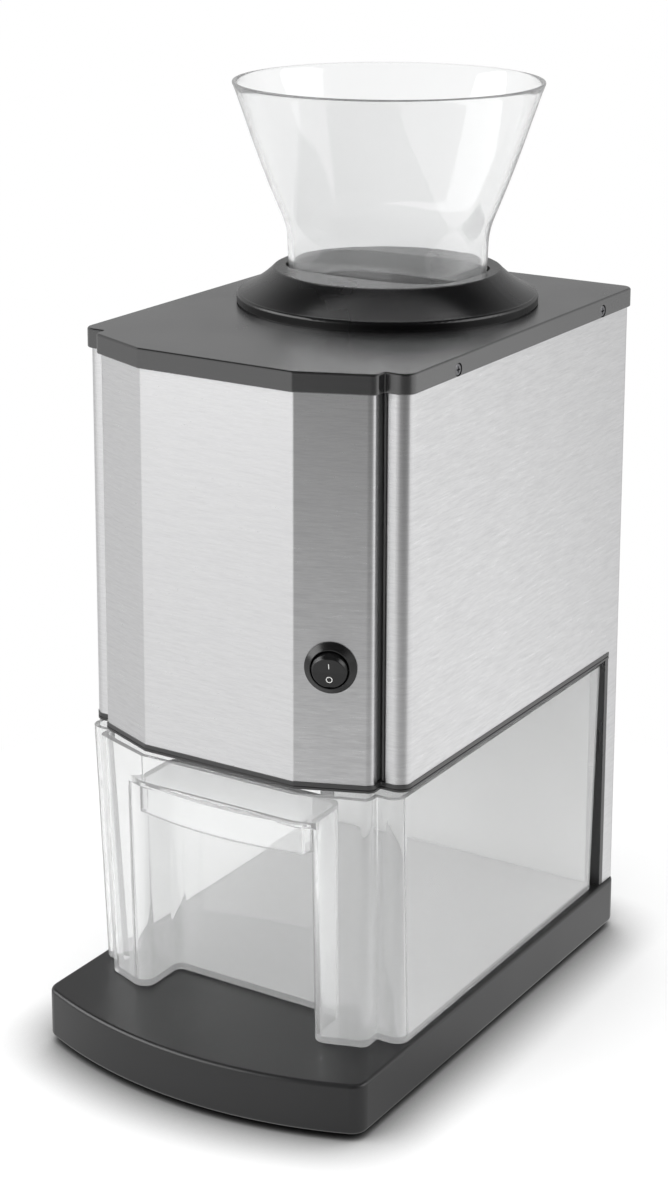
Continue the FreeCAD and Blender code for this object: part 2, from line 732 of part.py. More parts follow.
def gear(teeth, module, x0, x1, axis, first_tooth):
    # spur gear with involute flanks, one tooth is centred on the direction first_tooth
    pressure = math.radians(pressure_angle)
    pitch_r = teeth * module / 2
    base_r = pitch_r * math.cos(pressure)
    tip_r = pitch_r + addendum * module
    root_r = pitch_r - dedendum * module
    pitch_half = (math.pi * module / 2 - backlash) / 2 / pitch_r
    start_r = max(base_r, root_r)

    def half_angle(radius):
        roll = math.acos(min(1.0, base_r / radius))
        return pitch_half + (math.tan(pressure) - pressure) - (math.tan(roll) - roll)

    def point(radius, angle):
        return V(axis[0] + radius * math.cos(angle), axis[1] + radius * math.sin(angle), x0)

    edges = []
    for tooth in range(teeth):
        middle = math.radians(first_tooth) + tooth * 2 * math.pi / teeth
        following = middle + 2 * math.pi / teeth
        radii = [start_r + (tip_r - start_r) * share for share in (0, 0.35, 0.7, 1)]
        rising = [point(r, middle - half_angle(r)) for r in radii]
        falling = [point(r, middle + half_angle(r)) for r in reversed(radii)]
        for flank in (rising, falling):
            curve = Part.BSplineCurve()
            curve.interpolate(flank)
            edges.append(curve.toShape())
        edges.append(Part.Arc(rising[-1], point(tip_r, middle), falling[0]).toShape())
        leaving = middle + half_angle(start_r)
        arriving = following - half_angle(start_r)
        if root_r < start_r:
            edges.append(Part.makeLine(falling[-1], point(root_r, leaving)))
            edges.append(Part.makeLine(point(root_r, arriving), point(start_r, arriving)))
        root = Part.Arc(point(root_r, leaving), point(root_r, (leaving + arriving) / 2),
                        point(root_r, arriving))
        edges.append(root.toShape())
    wire = Part.Wire(Part.__sortEdges__(edges))
    return to_side(Part.Face(wire).extrude(V(0, 0, x1 - x0)))


def drive_gear():
    wheel = gear(drive_teeth, second_module, 59.0, 68.0, rotor_axis, idler_bearing)
    hub = rod_x(9.5, 51.0, 59.5, *rotor_axis)
    dish = ring_x(34.0, 14.0, 65.0, 69.0, *rotor_axis)
    holes = [rod_x(5.0, 50, 70, *around(rotor_axis, 24.0, turn)) for turn in range(30, 390, 60)]
    wheel = joined([wheel.cut([dish] + holes), hub])
    return wheel.cut(rotor_shaft())


def idler_gear():
    # one tooth gap faces the drive gear and one tooth faces the pinion
    half_tooth = 180.0 / idler_small_teeth
    big = gear(idler_big_teeth, first_module, 51.0, 57.5, idler_axis, motor_bearing)
    small = gear(idler_small_teeth, second_module, 57.0, 68.0, idler_axis, idler_bearing + 180 + half_tooth)
    wheel = joined([big, small])
    return wheel.cut(rod_x(4.0 + journal_gap, 40, 80, *idler_axis))


def idler_pin():
    pin = rod_x(4.0, plate_x, gear_cover_x - 1.8, *idler_axis)
    head = rod_x(6.0, plate_x - 1.5, plate_x, *idler_axis)
    return joined([pin, head])


def motor_pinion():
    half_tooth = 180.0 / pinion_teeth
    wheel = gear(pinion_teeth, first_module, 51.0, 58.5, motor_axis, motor_bearing + 180 + half_tooth)
    return wheel.cut(rod_x(motor_shaft_r, 40, 80, *motor_axis))


gear_cover_screws = [(-49, 214), (84, 212), (84, 297), (-8, 297)]


def gear_plate():
    points = [(-50, 205, 8), (93, 205, 8), (93, 304, 8), (-18, 304, 8), (-64, 272, 8), (-64, 224, 8)]
    plate = to_side(prism(points, plate_x, plate_x + plate_t))
    cuts = [rod_x(radius, 40, 60, *axis) for radius, axis in
            ((10.6, rotor_axis), (4.0, idler_axis), (8.2, motor_axis))]
    cuts += [rod_x(1.7, 40, 60, y, z) for x, y, z in plate_screw_places]
    cuts += [rod_x(1.7, 40, 60, *around(motor_axis, 18.0, turn)) for turn in (105, 285)]
    cuts += [rod_x(1.3, 40, 60, y, z) for y, z in gear_cover_screws]
    return plate.cut(cuts)


def gear_cover():
    points = [(-57, 206, 8), (92, 206, 8), (92, 303, 8), (-16, 303, 8), (-57, 276, 8)]
    inside = [(-55.2, 207.8, 6.2), (90.2, 207.8, 6.2), (90.2, 301.2, 6.2), (-15.4, 301.2, 6.2),
              (-55.2, 275, 6.2)]
    low = plate_x + plate_t
    cover = to_side(prism(points, low, gear_cover_x))
    room = to_side(prism(inside, low - 1, gear_cover_x - 1.8))
    posts = [rod_x(4.4, low, gear_cover_x - 1, y, z) for y, z in gear_cover_screws]
    cover = joined([cover.cut(room)] + posts)
    cover = cover.cut([rod_x(1.7, 40, 80, y, z) for y, z in gear_cover_screws])
    return cover.cut([rod_x(1.3, low - 1, low, y, z) for x, y, z in plate_screw_places])


# ---- motor ----

def motor_can():
    can = rod_x(motor_r, motor_rear_x, plate_x, *motor_axis)
    can = can.cut(rod_x(motor_r - 2.0, motor_rear_x - 1, plate_x - 2.5, *motor_axis))
    nose = rod_x(8.0, plate_x - 1, plate_x + 1.8, *motor_axis)
    can = joined([can, nose])
    cuts = [rod_x(motor_shaft_r + journal_gap, 30, 60, *motor_axis)]
    cuts += [rod_x(1.5, 40, 60, *around(motor_axis, 18.0, turn)) for turn in (105, 285)]
    cuts += [rod_x(3.0, plate_x - 3, plate_x + 1, *around(motor_axis, 13.5, turn)) for turn in (15, 195)]
    return can.cut(cuts)


def motor_end_cap():
    cap = rod_x(motor_r, motor_rear_x - 7, motor_rear_x, *motor_axis)
    rim = [e for e in cap.Edges if e.BoundBox.XMax < motor_rear_x - 6.9]
    cap = cap.makeFillet(2.0, rim)
    plug = rod_x(motor_r - 2.1, motor_rear_x - 1, motor_rear_x + 3, *motor_axis)
    boss = rod_x(7.0, motor_rear_x - 10, motor_rear_x - 6, *motor_axis)
    axis_y, axis_z = motor_axis
    tabs = [block(motor_rear_x - 13, motor_rear_x - 6.5, axis_y - 2.4, axis_y + 2.4, z, z + 0.8)
            for z in (axis_z - 18, axis_z + 17)]
    cap = joined([cap, plug, boss] + tabs)
    cap = cap.cut(rod_x(10.5, motor_rear_x - 4, motor_rear_x + 4, *motor_axis))
    return cap.cut(rod_x(motor_shaft_r + journal_gap, motor_rear_x - 8.5, 0, *motor_axis))


def motor_armature():
    shaft = rod_x(motor_shaft_r, motor_rear_x - 8, 59.5, *motor_axis)
    core = rod_x(17.0, -18, 34, *motor_axis)
    axis_y, axis_z = motor_axis
    slots = [block(-19, 35, axis_y - 1.4, axis_y + 1.4, axis_z + 11, axis_z + 18)]
    for number in range(1, 8):
        slot = slots[0].copy()
        slot.rotate(V(0, *motor_axis), V(1, 0, 0), number * 45)
        slots.append(slot)
    commutator = rod_x(9.0, -33, -23, *motor_axis)
    neck = rod_x(6.0, -24, -17, *motor_axis)
    return joined([shaft, core.cut(slots), commutator, neck])


def motor_magnet(side):
    tube = ring_x(motor_r - 2.1, 18.0, -20, 36, *motor_axis)
    y, z = motor_axis
    if side > 0:
        return tube.common(block(-30, 40, y - 22, y + 22, z + 6, z + 40))
    return tube.common(block(-30, 40, y - 22, y + 22, z - 40, z - 6))


def motor_cradle():
    # saddle on the deck that carries the motor's free end
    axis_y, axis_z = motor_axis
    low = deck_floor
    foot = block(-34, -6, axis_y - 34, axis_y + 34, low, low + mount_foot_t)
    webs = [block(x, x + 3, axis_y - 24, axis_y + 24, low, axis_z) for x in (-30, -13)]
    back = block(-30, -10, axis_y - 1.5, axis_y + 1.5, low, axis_z - 20)
    cradle = joined([foot, back] + webs)
    cradle = cradle.cut(rod_x(motor_r + journal_gap, -40, 0, axis_y, axis_z))
    cradle = cradle.cut(block(-40, 0, axis_y - 40, axis_y + 40, axis_z - 8, axis_z + 40))
    return cradle.cut([rod_z(1.8, low - 1, low + 4, x, y) for x, y, z in cradle_screw_places])


cradle_screw_places = [(-20, motor_axis[0] + y, deck_floor + mount_foot_t) for y in (-29, 29)]
floor_screw_places = housing_screw_places + cradle_screw_places


# ---- electrical pieces ----

def switch_body():
    # drawn with +Z out of the panel and +Y up, then set on the slanted facet
    edge = Part.makeCylinder(switch_r, bezel_edge)
    cone = Part.makeCone(switch_r, bezel_top_r, bezel_h - bezel_edge, V(0, 0, bezel_edge))
    barrel = Part.makeCylinder(switch_hole_r - 0.2, 17, V(0, 0, -17))
    clips = [block(x, x + 1.4, -3, 3, -9, -3.4) for x in (-11.0, 9.6)]
    body = joined([edge, cone, barrel] + clips)
    well = Part.makeCylinder(well_r, bezel_h + 12, V(0, 0, -11))
    reach = rocker_pin_half + 0.3
    pivot = Part.makeCylinder(rocker_pin_r + journal_gap, 2 * reach, V(-reach, 0, rocker_lift), V(1, 0, 0))
    return on_facet(body.cut([well, pivot]))


def switch_rocker():
    # a round key on a cross pin, rounded about the pin so that it clears its well at every tilt
    pivot = V(0, 0, rocker_lift)
    key = Part.makeCylinder(rocker_r, 16, V(0, 0, rocker_lift - 5))
    key = key.common(Part.makeSphere(rocker_r + 0.4, pivot))
    key = key.common(Part.makeCylinder(rocker_r + 0.15, 20, V(-10, 0, rocker_lift), V(1, 0, 0)))
    face = rocker_lift + rocker_face
    for half in (1, -1):
        wedge = block(-12, 12, 0, 14, face, face + 12)
        wedge.rotate(V(0, 0, face), V(1, 0, 0), rocker_dish)
        if half < 0:
            wedge.rotate(V(0, 0, face), V(0, 0, 1), 180)
        key = key.cut(wedge)
    pin_end = V(-rocker_pin_half, 0, rocker_lift)
    pin = Part.makeCylinder(rocker_pin_r, 2 * rocker_pin_half, pin_end, V(1, 0, 0))
    key = joined([key, pin])
    face_rim = [e for e in key.Edges if e.BoundBox.ZMin > face - 0.1 and e.BoundBox.ZMax > face + 0.1]
    key = key.makeFillet(0.4, face_rim)
    # lower half pressed in
    key.rotate(pivot, V(1, 0, 0), rocker_tilt)
    return on_facet(key)


def switch_terminals():
    tabs = [block(-2.4, 2.4, y, y + 0.8, -26, -17) for y in (-5, 4.2)]
    return Part.makeCompound([on_facet(tab) for tab in tabs])


def interlock_switch():
    low = back_wall_rear_y
    body = block(interlock_x - 10, interlock_x + 10, low, low + 10.2, interlock_z - 3.2, interlock_z + 3.2)
    ends = [e for e in body.Edges if e.BoundBox.YLength < 0.1 and e.BoundBox.XLength < 0.1]
    body = body.makeChamfer(0.5, ends)
    tabs = [block(x, x + 3.2, low + 10, low + 12.4, interlock_z - 0.4, interlock_z + 0.4)
            for x in (interlock_x - 8, interlock_x + 5)]
    body = joined([body] + tabs)
    return body.cut(rod_y(plunger_r + journal_gap, low - 1, low + 5, interlock_x, interlock_z))


def interlock_plunger():
    rod = rod_y(plunger_r, 115.4, 122.6, interlock_x, interlock_z)
    tip = [e for e in rod.Edges if e.BoundBox.YMax < 115.5]
    return rod.makeFillet(0.7, tip)


def cord_gland():
    barrel = rod_y(gland_thread_r, steel_rear_y - 9.5, steel_rear_y, 0, gland_z)
    flange = rod_y(9.0, steel_rear_y, rear_y, 0, gland_z)
    return joined([barrel, flange]).cut(rod_y(gland_bore_r, 100, 150, 0, gland_z))


def gland_nut():
    points = []
    for corner in range(6):
        angle = math.radians(corner * 60)
        points.append((10.0 * math.cos(angle), 10.0 * math.sin(angle), 0))
    nut = prism(points, 0, 3.5)
    nut.rotate(V(0, 0, 0), V(1, 0, 0), 90)
    nut.translate(V(0, steel_rear_y - steel_t, gland_z))
    return nut.cut(rod_y(gland_thread_r, 100, 150, 0, gland_z))


def terminal_block():
    body = block(-12, 12, back_wall_rear_y, back_wall_rear_y + 10, 70, 84)
    clamps = [rod_y(2.6, 126.6, 131, x, 77) for x in (-6, 6)]
    heads = [rod_y(2.4, 126.6, 129.0, x, 77) for x in (-6, 6)]
    return joined([body.cut(clamps)] + heads)


def lead(points):
    # one insulated lead through the given points, its bends are arcs
    points = [V(*point) for point in points]
    edges = []
    start = points[0]
    for i in range(1, len(points) - 1):
        before = points[i - 1] - points[i]
        after = points[i + 1] - points[i]
        before.normalize()
        after.normalize()
        half = before.getAngle(after) / 2
        reach = lead_bend / math.tan(half)
        inward = before + after
        inward.normalize()
        middle = points[i] + inward * (lead_bend / math.sin(half) - lead_bend)
        edges.append(Part.makeLine(start, points[i] + before * reach))
        edges.append(Part.Arc(points[i] + before * reach, middle, points[i] + after * reach).toShape())
        start = points[i] + after * reach
    edges.append(Part.makeLine(start, points[-1]))
    path = Part.Wire(edges)
    section = Part.Wire(Part.makeCircle(lead_r, points[0], points[1] - points[0]))
    return path.makePipeShell([section], True, True)


def switch_tab_end(height):
    # inner end of a switch terminal, on its left side
    end = facet_frame().multVec(V(-2.4 - lead_r, height, -24.5))
    return (end.x, end.y, end.z)


def leads():
    motor_y, motor_z = motor_axis
    tab_x = motor_rear_x - 13 - 0.1
    rear = 131.3
    upper = switch_tab_end(4.6)
    lower = switch_tab_end(-4.6)
    return {
        "lead_inlet": lead([(6, 125, 84.1), (6, 125, 104), (interlock_x - 6.4, rear, 104),
                            (interlock_x - 6.4, rear, interlock_z - 0.5)]),
        "lead_interlock": lead([(interlock_x + 6.6, rear, interlock_z + 0.5), (interlock_x + 6.6, rear, 166),
                                (76, 110, 166), (76, -40, 166), (34, -66, 186), lower]),
        "lead_motor": lead([upper, (28, -78, 205), (-60, -78, 205), (-60, motor_y, motor_z + 17.4),
                            (tab_x, motor_y, motor_z + 17.4)]),
        "lead_return": lead([(tab_x, motor_y, motor_z - 17.6), (-64, motor_y, motor_z - 17.6),
                             (-72, motor_y, 166), (-72, 112, 166), (-6, 126, 166), (-6, 125, 84.1)]),
    }


base_screw_heads = [(x, y, foot_h + 1.4) for x, y in base_screw_places]

nodes = {
    "base_tray": base_tray(),
    "base_plate": base_plate(),
    "base_screws": screws(base_screw_heads, (0, 0, -1), 3.0, 1.3, 1.5, 12),
    "body_wrap": body_wrap(),
    "front_panel": front_panel(),
    "front_frame": front_frame(),
    "deck_frame": deck_frame(),
    "bay_back_wall": bay_back_wall(),
    "bay_trim": bay_trim(),
    "top_cover": top_cover(),
    "hopper_collar": hopper_collar(),
    "collar_screws": screws(collar_screw_places, (0, 0, -1), 3.0, 1.6, 1.4, 9),
    "hopper": hopper(),
    "drawer": drawer(),
    "crusher_housing": crusher_housing(),
    "discharge_chute": discharge_chute(),
    "floor_screws": screws(floor_screw_places, (0, 0, 1), 3.0, 1.6, 1.8, 5.4),
    "rotor_shaft": rotor_shaft(),
    "shaft_clips": shaft_clips(),
    "fixed_comb": fixed_comb(),
    "comb_screws": screws(comb_screw_places, (0, 1, 0), 3.0, 1.6, 1.3, 5.2),
    "shaft_bush_left": shaft_bush(-1),
    "shaft_bush_right": shaft_bush(1),
    "drive_gear": drive_gear(),
    "idler_gear": idler_gear(),
    "idler_pin": idler_pin(),
    "motor_pinion": motor_pinion(),
    "gear_plate": gear_plate(),
    "gear_cover": gear_cover(),
    "motor_can": motor_can(),
    "motor_end_cap": motor_end_cap(),
    "motor_armature": motor_armature(),
    "motor_magnet_upper": motor_magnet(1),
    "motor_magnet_lower": motor_magnet(-1),
    "motor_cradle": motor_cradle(),
    "switch_body": switch_body(),
    "switch_rocker": switch_rocker(),
    "switch_terminals": switch_terminals(),
    "interlock_switch": interlock_switch(),
    "interlock_plunger": interlock_plunger(),
    "cord_gland": cord_gland(),
    "gland_nut": gland_nut(),
    "terminal_block": terminal_block(),
    "blade_spacers": Part.makeCompound([blade_spacer(number) for number in range(blade_count + 1)]),
}
nodes.update(leads())

for number, (x, y) in enumerate(foot_places):
    nodes["base_foot_" + str(number + 1)] = base_foot(x, y)
for number in range(blade_count):
    nodes["rotor_blade_" + str(number + 1)] = rotor_blade(number)

gear_cover_heads = [(gear_cover_x, y, z) for y, z in gear_cover_screws]
motor_screw_places = [(plate_x + plate_t, *around(motor_axis, 18.0, turn)) for turn in (105, 285)]
right_places = [place for place in cover_screw_places if place[0] > 0]
left_places = [place for place in cover_screw_places if place[0] < 0]
case_screws = screws(right_places, (1, 0, 0), 2.7, 1.3, 1.4, 3.4).Solids
case_screws += screws(left_places, (-1, 0, 0), 2.7, 1.3, 1.4, 3.4).Solids
case_screws += screws(rear_screw_places, (0, 1, 0), 2.7, 1.3, 1.4, 9).Solids
nodes["case_screws"] = Part.makeCompound(case_screws)
nodes["plate_screws"] = screws(plate_screw_places + motor_screw_places, (1, 0, 0), 2.8, 1.4, 1.3, 4.4)
nodes["gear_cover_screws"] = screws(gear_cover_heads, (1, 0, 0), 2.8, 1.4, 1.3, gear_cover_x - plate_x)

for name, shape in nodes.items():
    print(name, len(shape.Solids), shape.isValid(), round(shape.Volume, 1))
    shape.exportStep("parts/" + name + ".step")
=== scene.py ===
import bmesh
import bpy
import json
import math
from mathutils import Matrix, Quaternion, Vector


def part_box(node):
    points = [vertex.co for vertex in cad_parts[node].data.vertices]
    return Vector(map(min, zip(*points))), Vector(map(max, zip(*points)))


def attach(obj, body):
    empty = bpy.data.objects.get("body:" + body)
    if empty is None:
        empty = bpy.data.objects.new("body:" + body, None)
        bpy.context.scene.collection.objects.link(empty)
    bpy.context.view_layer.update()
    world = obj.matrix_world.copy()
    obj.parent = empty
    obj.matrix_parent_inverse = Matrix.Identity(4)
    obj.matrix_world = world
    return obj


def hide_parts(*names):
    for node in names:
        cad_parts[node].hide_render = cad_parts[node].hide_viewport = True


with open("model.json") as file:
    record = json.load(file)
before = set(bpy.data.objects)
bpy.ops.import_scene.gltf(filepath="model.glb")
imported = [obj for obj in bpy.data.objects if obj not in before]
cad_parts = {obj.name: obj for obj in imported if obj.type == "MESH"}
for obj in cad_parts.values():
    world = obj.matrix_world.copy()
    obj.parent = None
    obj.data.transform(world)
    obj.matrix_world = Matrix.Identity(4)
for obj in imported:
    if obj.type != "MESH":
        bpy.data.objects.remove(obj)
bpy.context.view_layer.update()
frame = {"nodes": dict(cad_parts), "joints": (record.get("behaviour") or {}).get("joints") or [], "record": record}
nodes = frame["nodes"]
print("frame loaded,", len(nodes), "nodes")

scene = bpy.context.scene
scene.view_settings.view_transform = "Standard"


def direction(azimuth, elevation):
    # unit vector from the machine, azimuth 0 is the front and 90 the right side
    turn = math.radians(azimuth)
    rise = math.radians(elevation)
    return Vector((math.sin(turn) * math.cos(rise), -math.cos(turn) * math.cos(rise), math.sin(rise)))


cameraSet = {
    "place": (0.58918, -0.94976, 0.57784),
    "azimuth": 31.928,
    "elevation": 12.809,
    "roll": 0.157,
    "sensor": 36,               # millimetres, over the height of the frame
    "framePixels": 1200,        # height of the frame
    "focalPixels": 2501.6,
    "shiftPixels": 264,         # optical axis above the middle of the frame
    "nearest": 0.02,
    "farthest": 60,
}


def makeCamera(values):
    data = bpy.data.cameras.new("frontCamera")
    data.sensor_width = values["sensor"]
    data.lens = values["sensor"] * values["focalPixels"] / values["framePixels"]
    data.shift_y = -values["shiftPixels"] / values["framePixels"]
    data.clip_start = values["nearest"]
    data.clip_end = values["farthest"]
    camera = bpy.data.objects.new("frontCamera", data)
    back = direction(values["azimuth"], values["elevation"])
    roll = Quaternion((0, 0, 1), math.radians(values["roll"]))
    camera.rotation_mode = "QUATERNION"
    camera.rotation_quaternion = back.to_track_quat("Z", "Y") @ roll
    camera.location = values["place"]
    scene.collection.objects.link(camera)
    scene.camera = camera


makeCamera(cameraSet)
print("camera set")


def feed(tree, socket, value):
    # links an output to the socket, or writes a plain value into it
    if isinstance(value, bpy.types.NodeSocket):
        tree.links.new(value, socket)
    elif socket.type == "RGBA":
        socket.default_value = (*value, 1)
    else:
        socket.default_value = value


def put(tree, kind, inputs=None, **settings):
    # a new shader node, its inputs take plain values or other nodes' outputs
    node = tree.nodes.new("ShaderNode" + kind)
    for key, value in settings.items():
        setattr(node, key, value)
    for key, value in (inputs or {}).items():
        feed(tree, node.inputs[key], value)
    return node


def calc(tree, operation, first, second=0.0, clamp=False):
    return put(tree, "Math", {0: first, 1: second}, operation=operation, use_clamp=clamp).outputs[0]


def remap(tree, value, fromLow, fromHigh, toLow, toHigh):
    return put(tree, "MapRange", {0: value, 1: fromLow, 2: fromHigh, 3: toLow, 4: toHigh}).outputs[0]


def mixColours(tree, factor, first, second):
    return put(tree, "Mix", {0: factor, 6: first, 7: second}, data_type="RGBA").outputs[2]


def noise(tree, where, scale, detail, roughness=0.5):
    inputs = {"Vector": where, "Scale": scale, "Detail": detail, "Roughness": roughness}
    return put(tree, "TexNoise", inputs).outputs[0]


def bumped(tree, height, strength, depth):
    return put(tree, "Bump", {"Strength": strength, "Distance": depth, "Height": height}).outputs[0]


def newGroup(name, takes, gives):
    # takes holds the inputs with their usual values, gives the outputs with their kinds
    tree = bpy.data.node_groups.new(name, "ShaderNodeTree")
    for label, value in takes.items():
        kind = "NodeSocketVector" if isinstance(value, tuple) else "NodeSocketFloat"
        socket = tree.interface.new_socket(label, in_out="INPUT", socket_type=kind)
        socket.default_value = value
    for label, kind in gives.items():
        tree.interface.new_socket(label, in_out="OUTPUT", socket_type=kind)
    start = tree.nodes.new("NodeGroupInput")
    end = tree.nodes.new("NodeGroupOutput")
    return tree, start, end


def newMaterial(name):
    material = bpy.data.materials.new(name)
    material.use_nodes = True
    material.node_tree.nodes.clear()
    return material, material.node_tree


# stage: pale floor, white surroundings and soft boxes
# sweeps are what gloss sees round the machine, as degrees from the front and brightness
studio = {
    "fill": 0.72,               # the world as a lamp
    "aimHeight": 0.2,           # the soft boxes point at this height over the floor
    "floorColour": (0.86, 0.86, 0.86),
    "floorSize": 24.0,
    "liftFrom": 0.15,           # metres from the middle where the floor starts to turn plain white
    "liftTo": 0.36,
    "contactReach": 0.03,       # how far from the base its painted contact shadow reaches
    "contactDepth": 1.5,
    "contactSamples": 12,
    "glossLift": 0.85,          # share of the sweep in what gloss sees of the floor
    "ceiling": 0.03,
    "ceilingFrom": 0.42,        # height of a direction where the ceiling starts, and where it is full
    "ceilingTo": 0.75,
    "nearSweep": ((-180, 0.90), (-120, 0.8), (-77, 0.60), (-32, 0.78), (0, 0.8), (15, 0.80), (38, 0.62),
                  (58, 0.55), (95, 0.85), (146, 1.0), (150, 0.88), (156, 0.66), (179, 0.72)),
    "farSweep": ((-180, 0.50), (-148, 0.56), (-110, 0.6), (-77, 0.56), (-38, 0.72), (-22, 0.7), (0, 0.4),
                 (12, 0.08), (45, 0.01), (70, 0.08), (100, 0.8), (147, 1.0), (151, 0.82), (155, 0.6),
                 (165, 0.58)),
    "farFrom": 0.35,            # metres from the middle where the near sweep fades into the far one
    "farTo": 1.15,
}
softBoxes = {
    "leftFrontBox": {"azimuth": -36, "elevation": 42, "distance": 2.4, "size": (2.0, 2.0), "power": 24},
    "rightBox": {"azimuth": 120, "elevation": 38, "distance": 2.4, "size": (2.0, 2.0), "power": 20},
    "overheadBox": {"azimuth": 20, "elevation": 86, "distance": 2.2, "size": (2.2, 2.2), "power": 18},
    "rearBox": {"azimuth": -150, "elevation": 40, "distance": 2.4, "size": (2.0, 2.0), "power": 14},
    # seen in gloss only
    "leftShine": {"azimuth": -50, "elevation": 26, "distance": 2.4, "size": (2.8, 1.6), "power": 49},
    "rightShine": {"azimuth": 112, "elevation": 26, "distance": 2.4, "size": (1.6, 1.4), "power": 14},
}


def sweepRamp(tree, place, stops):
    ramp = put(tree, "ValToRGB", {0: place})
    ramp.color_ramp.interpolation = "EASE"
    elements = ramp.color_ramp.elements
    while len(elements) < len(stops):
        elements.new(0.5)
    for element, (degrees, brightness) in zip(elements, stops):
        element.position = (degrees + 180) / 360
        element.color = (brightness, brightness, brightness, 1)
    return ramp.outputs[0]


def sweepGroup(values):
    kinds = {"Near": "NodeSocketColor", "Far": "NodeSocketColor"}
    tree, start, end = newGroup("studioSweep", {"Direction": (0.0, 0.0, 0.0)}, kinds)
    parts = put(tree, "SeparateXYZ", {0: start.outputs["Direction"]})
    forward = calc(tree, "MULTIPLY", parts.outputs["Y"], -1.0)
    turn = calc(tree, "ARCTAN2", parts.outputs["X"], forward)
    place = remap(tree, turn, -math.pi, math.pi, 0.0, 1.0)
    feed(tree, end.inputs["Near"], sweepRamp(tree, place, values["nearSweep"]))
    feed(tree, end.inputs["Far"], sweepRamp(tree, place, values["farSweep"]))
    return tree


def seenRays(tree, rays):
    # 1 for what the camera sees straight or through something clear
    return calc(tree, "ADD", rays["Is Camera Ray"], rays["Is Transmission Ray"], clamp=True)


def makeWorld(values, sweep):
    world = bpy.data.worlds.new("studio")
    world.use_nodes = True
    tree = world.node_tree
    tree.nodes.clear()
    rays = put(tree, "LightPath").outputs
    where = put(tree, "TexCoord").outputs["Generated"]
    height = put(tree, "SeparateXYZ", {0: where}).outputs["Z"]
    overhead = remap(tree, height, values["ceilingFrom"], values["ceilingTo"], 0.0, 1.0)
    far = put(tree, "Group", {"Direction": where}, node_tree=sweep).outputs["Far"]
    gloss = mixColours(tree, overhead, far, (values["ceiling"],) * 3)
    colour = mixColours(tree, rays["Is Glossy Ray"], (values["fill"],) * 3, gloss)
    colour = mixColours(tree, seenRays(tree, rays), colour, (1.0, 1.0, 1.0))
    shader = put(tree, "Background", {"Color": colour})
    put(tree, "OutputWorld", {"Surface": shader.outputs[0]})
    scene.world = world


def floorFinish(values, sweep):
    # matt and shadowed near the machine, where a painted contact shadow also darkens its colour, plain white
    # farther out, the sweeps in gloss
    material, tree = newMaterial("paleFloor")
    rays = put(tree, "LightPath").outputs
    gloss = calc(tree, "SUBTRACT", rays["Is Glossy Ray"], rays["Is Transmission Ray"], clamp=True)
    where = put(tree, "NewGeometry").outputs["Position"]
    away = put(tree, "VectorMath", {0: where}, operation="LENGTH").outputs["Value"]
    sweeps = put(tree, "Group", {"Direction": where}, node_tree=sweep)
    distance = remap(tree, away, values["farFrom"], values["farTo"], 0.0, 1.0)
    sweepColour = mixColours(tree, distance, sweeps.outputs["Near"], sweeps.outputs["Far"])
    white = mixColours(tree, gloss, (1.0, 1.0, 1.0), sweepColour)
    lift = remap(tree, away, values["liftFrom"], values["liftTo"], 0.0, 1.0)
    seen = calc(tree, "MULTIPLY", seenRays(tree, rays), lift)
    share = calc(tree, "ADD", seen, calc(tree, "MULTIPLY", gloss, values["glossLift"]), clamp=True)
    # painted contact shadow: the floor's colour darkens towards black close to the machine
    contact = put(tree, "AmbientOcclusion", {"Distance": values["contactReach"]},
                  samples=values["contactSamples"])
    paintedShadowOpenness = calc(tree, "POWER", contact.outputs["AO"], values["contactDepth"])
    ground = mixColours(tree, paintedShadowOpenness, (0.0, 0.0, 0.0), values["floorColour"])
    matt = put(tree, "BsdfDiffuse", {"Color": ground})
    plain = put(tree, "Emission", {"Color": white, "Strength": 1.0})
    both = put(tree, "MixShader", {0: share, 1: matt.outputs[0], 2: plain.outputs[0]})
    put(tree, "OutputMaterial", {"Surface": both.outputs[0]})
    return material


def makeFloor(values, sweep):
    mesh = bpy.data.meshes.new("floor")
    half = values["floorSize"] / 2
    corners = [(-half, -half, 0), (half, -half, 0), (half, half, 0), (-half, half, 0)]
    mesh.from_pydata(corners, [], [(0, 1, 2, 3)])
    mesh.materials.append(floorFinish(values, sweep))
    floor = bpy.data.objects.new("floor", mesh)
    scene.collection.objects.link(floor)


def spareCover(lamp):
    # the flat cover would mirror the whole lamp towards the rear
    spared = bpy.data.collections.new(lamp.name + "Spared")
    spared.objects.link(nodes["top_cover"])
    spared.collection_objects[0].light_linking.link_state = "EXCLUDE"
    lamp.light_linking.receiver_collection = spared


def makeSoftBox(name, values, aimHeight):
    data = bpy.data.lights.new(name, "AREA")
    data.shape = "RECTANGLE"
    data.size, data.size_y = values["size"]
    data.energy = values["power"]
    lamp = bpy.data.objects.new(name, data)
    out = direction(values["azimuth"], values["elevation"])
    lamp.location = Vector((0, 0, aimHeight)) + out * values["distance"]
    lamp.rotation_mode = "QUATERNION"
    lamp.rotation_quaternion = out.to_track_quat("Z", "Y")
    lamp.visible_camera = False
    lamp.visible_transmission = False
    scene.collection.objects.link(lamp)
    shine = name.endswith("Shine")
    lamp.visible_glossy = shine
    lamp.visible_diffuse = not shine
    if shine:
        spareCover(lamp)


sweep = sweepGroup(studio)
makeWorld(studio, sweep)
makeFloor(studio, sweep)
for name, values in softBoxes.items():
    makeSoftBox(name, values, studio["aimHeight"])
print("stage set")


# surface effects that several materials share
grainForm = {
    "lineDetail": 3.0,
    "lineRoughness": 0.6,
    "lineShare": 0.6,           # what the fine lines and the broad bands add to the tone
    "bandShare": 0.4,
    "bandScale": (0.3, 0.3, 0.22),
    "bandDetail": 2.0,
    "bandRoughness": 0.5,
    "toneFrom": 0.3,            # this range of the sum is stretched over the whole tone
    "toneTo": 0.7,
}


